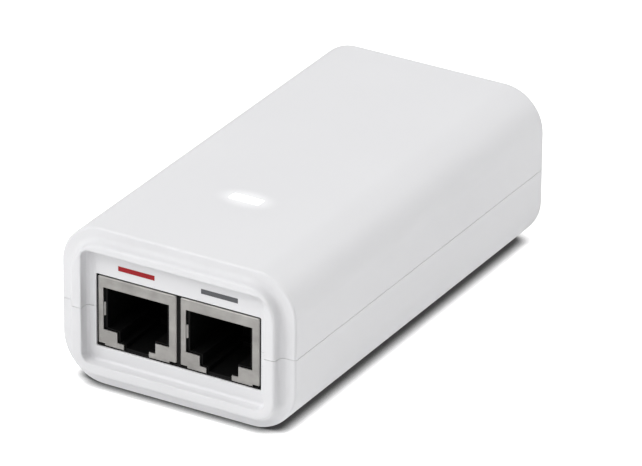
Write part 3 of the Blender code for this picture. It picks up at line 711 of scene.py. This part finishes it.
def keep_side(piece, height, upwards):
    """Cuts the skin at a height, keeps one side and caps the cut."""
    shape = bmesh.new()
    shape.from_mesh(piece.data)
    cut = bmesh.ops.bisect_plane(
        shape,
        geom=shape.verts[:] + shape.edges[:] + shape.faces[:],
        plane_co=(0, 0, height),
        plane_no=(0, 0, 1),
        clear_outer=not upwards,
        clear_inner=upwards,
    )
    edges = [item for item in cut["geom_cut"] if isinstance(item, bmesh.types.BMEdge)]
    bmesh.ops.edgenet_fill(shape, edges=edges)
    bmesh.ops.recalc_face_normals(shape, faces=shape.faces)
    shape.to_mesh(piece.data)
    shape.free()
    return piece


def plan_block(name, margin, bottom, top):
    """A box in plan that stands out from the case's hollow by a margin."""
    side = CASE_WIDTH / 2 - WALL + margin
    low = (-side, PANEL + WALL - margin, bottom)
    high = (side, BACK - WALL + margin, top)
    return block(name, low, high)


def seam_tongue():
    """The lower shell's upright lip behind the seam, open at the ports and the inlet."""
    top = SEAM_HEIGHT + TONGUE_HEIGHT
    tongue = plan_block("tongue", TONGUE_THICKNESS, SEAM_HEIGHT - 2 * MM, top)
    combine(tongue, plan_block("tongue_middle", 0.0, 0.0, 2 * top), "DIFFERENCE")
    low, high = cut_out_corners()
    ports = block("tongue_ports", (low.x, FRONT, low.z), (high.x, 0, high.z))
    combine(tongue, ports, "DIFFERENCE")
    low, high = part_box("mains_inlet_body")
    reach = Vector((INLET_GAP, 0, INLET_GAP))
    inlet = block("tongue_inlet", (low - reach).to_tuple(), (high + reach).to_tuple())
    return combine(tongue, inlet, "DIFFERENCE")


def make_upper_shell():
    shell = keep_side(case_skin("upper_case"), SEAM_HEIGHT + SEAM_GAP / 2, True)
    groove = plan_block("groove", TONGUE_THICKNESS + 0.15 * MM, 0.0,
                        SEAM_HEIGHT + TONGUE_HEIGHT + 0.2 * MM)
    combine(shell, groove, "DIFFERENCE")
    low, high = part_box("led_light_pipe")
    gap = 0.03 * MM
    window = rounded((low.x - gap, low.y - gap), (high.x + gap, high.y + gap),
                     (0.35 * MM, 0.35 * MM), 6)
    cutter = extruded("window", [window], "Z", CASE_TOP - 2 * WALL, CASE_TOP + MM)
    combine(shell, cutter, "DIFFERENCE")
    smooth(shell)
    lamp = Vector(((low.x + high.x) / 2, (low.y + high.y) / 2, CASE_TOP))
    mount(shell, case_plastic("case_plastic_lit", lamp), ["upper_shell"])


def make_lower_shell():
    shell = keep_side(case_skin("lower_case"), SEAM_HEIGHT - SEAM_GAP / 2, False)
    combine(shell, seam_tongue(), "UNION")
    low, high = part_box("rating_label")
    gap = 0.15 * MM
    recess = rounded((low.x - gap, low.y - gap), (high.x + gap, high.y + gap),
                     (1.1 * MM, 1.1 * MM), 6)
    cutter = extruded("label_recess", [recess], "Z", -MM, high.z + 0.1 * MM)
    combine(shell, cutter, "DIFFERENCE")
    smooth(shell)
    mount(shell, case_plastic("case_plastic_plain"), ["lower_shell"])


def make_light_pipe(materials):
    """The light pipe, whose top is the glowing bar."""
    low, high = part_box("led_light_pipe")
    outline = rounded((low.x, low.y), (high.x, high.y), (0.32 * MM, 0.32 * MM), 6)
    pipe = extruded("light_pipe", [outline], "Z", low.z, CASE_TOP - 0.03 * MM)
    bevel(pipe, 0.08 * MM, 2, 60)
    smooth(settle(pipe))
    mount(pipe, materials["light_plastic"], ["led_light_pipe"])


def make_label(materials):
    """A blank satin film with rounded corners and a fine printed frame."""
    low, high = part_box("rating_label")
    outline = rounded((low.x, low.y), (high.x, high.y), (MM, MM), 8)
    film = extruded("blank_label", [outline], "Z", low.z, high.z)
    mount(film, materials["label_film"], ["rating_label"])
    inset, line = 1.2 * MM, 0.15 * MM
    outer = rounded((low.x + inset, low.y + inset), (high.x - inset, high.y - inset),
                    (0.6 * MM, 0.6 * MM), 6)
    inset += line
    inner = rounded((low.x + inset, low.y + inset), (high.x - inset, high.y - inset),
                    (0.5 * MM, 0.5 * MM), 6)
    border = extruded("label_border", [outer, inner], "Z", low.z - 0.02 * MM, low.z + 0.02 * MM)
    mount(border, materials["pale_grey_ink"])


# ---------------------------------------------------------------- network jacks


def mouth_outline(middle, top, bottom):
    """The stepped mouth: wide for the plug, then two narrower steps for its latch."""
    upper = top - MOUTH_FROM_TOP
    step = upper - MOUTH_HEIGHT
    slot = step - LATCH_STEP_HEIGHT
    right = (
        (LATCH_SLOT_WIDTH / 2, bottom - MM),
        (LATCH_SLOT_WIDTH / 2, slot),
        (LATCH_STEP_WIDTH / 2, slot),
        (LATCH_STEP_WIDTH / 2, step),
        (MOUTH_WIDTH / 2, step),
        (MOUTH_WIDTH / 2, upper),
    )
    left = [(-across, up) for across, up in reversed(right)]
    return [(middle + across, up) for across, up in [*right, *left]]


def spring_finger(name, middle, side, face, height):
    """A strip cut from the shield's side edge and bent inwards to grip the plug."""
    edge = MOUTH_WIDTH / 2 + 0.12 * MM
    inward = [(edge, 0.0), (edge - 0.45 * MM, 0.5 * MM), (edge - 0.62 * MM, 2.0 * MM),
              (edge - 0.45 * MM, 4.2 * MM)]
    outward = [(across + FINGER_THICKNESS, deep) for across, deep in reversed(inward)]
    outline = [(middle + side * across, face + deep) for across, deep in inward + outward]
    half = FINGER_HEIGHT / 2
    return extruded(name, [outline], "Z", height - half, height + half)


def make_shield(name, materials):
    """The folded can: rounded folds, a stepped mouth, foot slots and two side springs."""
    low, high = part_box(f"{name}_jack_shield")
    centre = (low.x + high.x) / 2
    middle = centre + MOUTH_OFFSET
    can = bevel(block(f"{name}_shield", low, high), 0.3 * MM, 3)
    settle(can)
    inside_low = low + Vector((SHEET, SHEET, -MM))
    inside = block("inside", inside_low, high - Vector((SHEET, SHEET, SHEET)))
    combine(can, inside, "DIFFERENCE")
    mouth = extruded("mouth", [mouth_outline(middle, high.z, low.z)], "Y",
                     low.y - MM, low.y + MM)
    combine(can, mouth, "DIFFERENCE")
    for side in (-1, 1):
        edge = centre + side * (high.x - low.x) / 2
        start, end = sorted((edge + side * MM, edge - side * FOOT_SLOT_WIDTH))
        slot = block("slot", (start, low.y - MM, low.z - MM),
                     (end, low.y + 1.5 * MM, low.z + FOOT_SLOT_HEIGHT))
        combine(can, slot, "DIFFERENCE")
    bevel(can, 0.05 * MM, 2)
    settle(can)
    height = high.z - MOUTH_FROM_TOP - MOUTH_HEIGHT * 0.52
    for side in (-1, 1):
        finger = spring_finger("finger", middle, side, low.y + 0.04 * MM, height)
        combine(can, finger, "UNION")
    smooth(can)
    mount(can, materials["shield_metal"], [f"{name}_jack_shield"])


def make_housing(name, materials):
    """The black insert with the plug's cavity, the latch's channel and the contacts' pocket."""
    low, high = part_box(f"{name}_jack_housing")
    shield_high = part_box(f"{name}_jack_shield")[1]
    middle = (low.x + high.x) / 2 + MOUTH_OFFSET
    top = shield_high.z - MOUTH_FROM_TOP - 0.2 * MM
    floor = top - PLUG_HEIGHT
    deep = low.y + PLUG_DEPTH
    housing = block(f"{name}_insert", low, high)
    half = PLUG_WIDTH / 2
    plug = block("plug", (middle - half, low.y - MM, floor), (middle + half, deep, top))
    combine(housing, plug, "DIFFERENCE")
    half = LATCH_STEP_WIDTH / 2 - 0.35 * MM
    latch = block("latch", (middle - half, low.y - MM, low.z + 1.2 * MM),
                  (middle + half, deep - MM, floor + MM))
    combine(housing, latch, "DIFFERENCE")
    half = LATCH_SLOT_WIDTH / 2 - 0.25 * MM
    groove = block("groove", (middle - half, low.y - MM, low.z + 0.35 * MM),
                   (middle + half, deep - 3 * MM, low.z + 3 * MM))
    combine(housing, groove, "DIFFERENCE")
    pocket_low = (middle - 4.4 * MM, low.y + 1.6 * MM, top - MM)
    pocket_high = (middle + 4.4 * MM, deep - 1.5 * MM, top + 1.4 * MM)
    combine(housing, block("pocket", pocket_low, pocket_high), "DIFFERENCE")
    bevel(housing, 0.14 * MM, 2)
    smooth(settle(housing))
    mount(housing, materials["black_insert"], [f"{name}_jack_housing"])


def make_contacts(name, materials):
    """Eight sprung wires that slope back and down from the comb over the mouth."""
    low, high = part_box(f"{name}_jack_contacts")
    radius = CONTACT_RADIUS
    pitch = (high.x - low.x - 2 * radius) / (CONTACT_COUNT - 1)
    places = [low.x + radius + index * pitch for index in range(CONTACT_COUNT)]
    drop = high.z - low.z
    wires = []
    for x in places:
        route = [
            (x, low.y, high.z - radius),
            (x, low.y + 1.0 * MM, high.z - radius),
            (x, low.y + 1.6 * MM, high.z - radius - 0.12 * drop),
            (x, low.y + 3.2 * MM, high.z - radius - 0.34 * drop),
            (x, low.y + 6.0 * MM, high.z - radius - 0.72 * drop),
            (x, low.y + 7.2 * MM, low.z + radius + 0.05 * drop),
            (x, high.y, low.z + radius),
        ]
        wires.append(tube("wire", route, radius, 10))
    contacts = smooth(join(f"{name}_contacts", wires), weighted=False)
    mount(contacts, materials["contact_gold"], [f"{name}_jack_contacts"])
    rail = block(f"{name}_comb", (low.x - 0.3 * MM, low.y + 0.1 * MM, high.z - 0.9 * MM),
                 (high.x + 0.3 * MM, low.y + 0.9 * MM, high.z + 0.15 * MM))
    half = COMB_SLOT_WIDTH / 2
    for x in places:
        slot = block("slot", (x - half, low.y - MM, high.z - 2 * MM),
                     (x + half, high.y, high.z + 0.02 * MM))
        combine(rail, slot, "DIFFERENCE")
    mount(rail, materials["black_insert"])


def make_gap_shade_frame(materials):
    """A black frame set back in the gap round and between the two shields: painted shade, a dark
    sheet put where the narrow gap is only in shade.
    """
    low, high = cut_out_corners()
    clear = 0.02 * MM
    outlines = [rounded((low.x + clear, low.z + clear), (high.x - clear, high.z - clear),
                        (0.28 * MM, 0.28 * MM), 4)]
    for name in JACK_NAMES:
        low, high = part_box(f"{name}_jack_shield")
        outlines.append(rounded((low.x - clear, low.z - clear), (high.x + clear, high.z + clear),
                                (0.3 * MM, 0.3 * MM), 4))
    start = PANEL + GAP_SHADE_SETBACK
    shade_frame = extruded("jack_gap_shade_frame", outlines, "Y", start, start + GAP_SHADE_DEPTH)
    mount(shade_frame, materials["black_insert"])


def make_jacks(materials):
    for name in JACK_NAMES:
        make_shield(name, materials)
        make_housing(name, materials)
        make_contacts(name, materials)
    make_gap_shade_frame(materials)


# ------------------------------------------------------------------ mains inlet


def pin_places():
    """Where each pin stands across the inlet: the middle of its straight length."""
    places = {}
    for name in ("line", "neutral", "earth"):
        low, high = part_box(f"inlet_{name}_pin")
        radius = (high.x - low.x) / 2
        places[name] = ((low.x + high.x) / 2, high.z - radius)
    return places


def lobed_outline(places, radius):
    """The three-lobed mouth round the pins."""
    left, right, foot = places["line"], places["neutral"], places["earth"]
    slant = math.degrees(math.atan2(right[1] - foot[1], right[0] - foot[0])) - 90
    return (
        arc(right, radius, slant, 90, 20)
        + arc(left, radius, 90, 180 - slant, 20)
        + arc(foot, radius, 180 - slant, 360 + slant, 24)
    )


def make_inlet_body(materials):
    """The inlet's moulding: rounded front edges, a chamfered mouth and a deep hollow."""
    low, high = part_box("mains_inlet_body")
    edge, lobe, chamfer = INLET_EDGE, INLET_LOBE_RADIUS, INLET_CHAMFER
    half = (high.x - low.x) / 2
    flat = station(high.y, -half, half, low.z, high.z, 1.3 * MM, 1.3 * MM)
    sections = [grown(flat, 0, low.y), grown(flat, 0, high.y - edge)]
    sections += quarter(sections[-1], grown(flat, -edge, high.y), True)
    body = loft("inlet_moulding", [ring_of(section) for section in sections], closed=False)
    places = pin_places()
    rings = []
    for y, radius in (
        (high.y + MM, lobe + chamfer + MM),
        (high.y - chamfer, lobe),
        (high.y - INLET_HOLLOW_DEPTH, lobe - 0.1 * MM),
    ):
        rings.append([(x, y, z) for x, z in lobed_outline(places, radius)])
    combine(body, loft("hollow", rings, closed=False), "DIFFERENCE")
    smooth(body)
    mount(body, materials["black_plastic"], ["mains_inlet_body"])


def make_inlet_pins(materials):
    """Round pins with domed tips, whose tails bend down to the board."""
    for name, (x, z) in pin_places().items():
        low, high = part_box(f"inlet_{name}_pin")
        radius = (high.x - low.x) / 2
        bend, middle = PIN_BEND, low.y + radius
        route = [(x, high.y, z), (x, high.y - 8 * MM, z), (x, middle + bend, z)]
        for step in range(1, 7):
            angle = math.radians(90 * step / 6)
            y = middle + bend * (1 - math.sin(angle))
            route.append((x, y, z - bend * (1 - math.cos(angle))))
        route.append((x, middle, low.z))
        pin = tube(f"{name}_pin", route, radius, 20, tip_steps=5)
        smooth(pin, weighted=False)
        mount(pin, materials["pin_metal"], [f"inlet_{name}_pin"])


# ------------------------------------------------------------------ colour bars


def make_port_bars(materials):
    """A plain colour bar over each jack: red for the powered one, grey for the other."""
    start, end = PANEL - INK_PROUD, PANEL + INK_SUNK
    half = Vector((BAR_WIDTH / 2, BAR_HEIGHT / 2))
    for name, ink in (("poe", "red_ink"), ("lan", "grey_ink")):
        low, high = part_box(f"{name}_jack_shield")
        middle = Vector(((low.x + high.x) / 2, (high.z + PANEL_TOP) / 2 - BAR_BELOW_MIDDLE))
        (left, bottom), (right, top) = middle - half, middle + half
        corners = ((left, bottom), (right, bottom), (right, top), (left, top))
        bar = extruded(f"{name}_port_bar", [corners], "Y", start, end)
        mount(bar, materials[ink])


# ------------------------------------------------------------- carried-over CAD


def dress_inner_nodes(materials):
    """Gives every CAD node that still shows the finish of its slot."""
    slots = {item["node"]: item["material_slot"] for item in frame["record"]["subparts"]}
    for name, piece in frame["nodes"].items():
        if not piece.hide_render:
            wear(piece, materials[slots[name]])


# ----------------------------------------------------------------------- studio


def make_floor():
    shape = bmesh.new()
    reach = 3.0
    corners = ((-reach, -reach), (reach, -reach), (reach, reach), (-reach, reach))
    shape.faces.new([shape.verts.new((x, y, -0.02 * MM)) for x, y in corners])
    floor = object_from("studio_floor", shape)
    wear(floor, floor_paper_painted_shadow("floor_paper_painted_shadow"))


def make_lamp(name, place, target, size, power):
    data = bpy.data.lights.new(name, "AREA")
    data.shape = "DISK"
    data.size = size
    data.energy = power
    lamp = link(bpy.data.objects.new(name, data))
    lamp.location = place
    lamp.rotation_euler = (Vector(target) - Vector(place)).to_track_quat("-Z", "Y").to_euler()


def lamp_towards(azimuth, elevation, distance=1.3):
    """A point that way from the object; azimuth 0 is the front and 90 the right."""
    turn, rise = math.radians(azimuth), math.radians(elevation)
    level = distance * math.cos(rise)
    return (level * math.sin(turn), -level * math.cos(turn), distance * math.sin(rise) + 0.01)


def make_studio():
    make_floor()
    world = bpy.data.worlds.new("studio")
    world.use_nodes = True
    background = world.node_tree.nodes["Background"]
    background.inputs["Color"].default_value = (1.0, 1.0, 1.0, 1.0)
    background.inputs["Strength"].default_value = 0.21
    bpy.context.scene.world = world
    lamps = (
        ("front_high", 0, 50, 0.9, 5.3),
        ("right_back_low", 135, 20, 0.8, 0.9),
        ("right_back_high", 135, 50, 0.9, 7.45),
        ("left_back_low", 225, 20, 0.8, 0.85),
        ("left_front_low", 315, 20, 0.8, 2.9),
        ("left_front_high", 315, 50, 0.9, 6.0),
    )
    for name, azimuth, elevation, size, power in lamps:
        make_lamp(name, lamp_towards(azimuth, elevation), (0, 0, 0), size, power)
    make_lamp("overhead", (0, 0, 1.3), (0, 0, 0), 1.4, 0.4)
    bpy.context.scene.view_settings.view_transform = "Standard"


def make_camera():
    """A long lens from the front right and above."""
    place = Vector((0.5061, -0.8666, 0.5121))
    target = Vector((0.00153, 0.00302, 0.01374))
    roll = math.radians(0.455)
    data = bpy.data.cameras.new("camera")
    data.lens = 362.0
    data.sensor_width = 36.0
    data.clip_start = 0.05
    data.clip_end = 20.0
    camera = link(bpy.data.objects.new("camera", data))
    camera.location = place
    aim = (target - place).to_track_quat("-Z", "Y")
    camera.rotation_mode = "QUATERNION"
    camera.rotation_quaternion = aim @ Quaternion((0, 0, 1), roll)
    bpy.context.scene.camera = camera


# ------------------------------------------------------------------------- make

materials = make_materials()
make_upper_shell()
make_lower_shell()
make_light_pipe(materials)
make_label(materials)
make_jacks(materials)
make_inlet_body(materials)
make_inlet_pins(materials)
make_port_bars(materials)
dress_inner_nodes(materials)
make_studio()
make_camera()

bpy.context.view_layer.update()
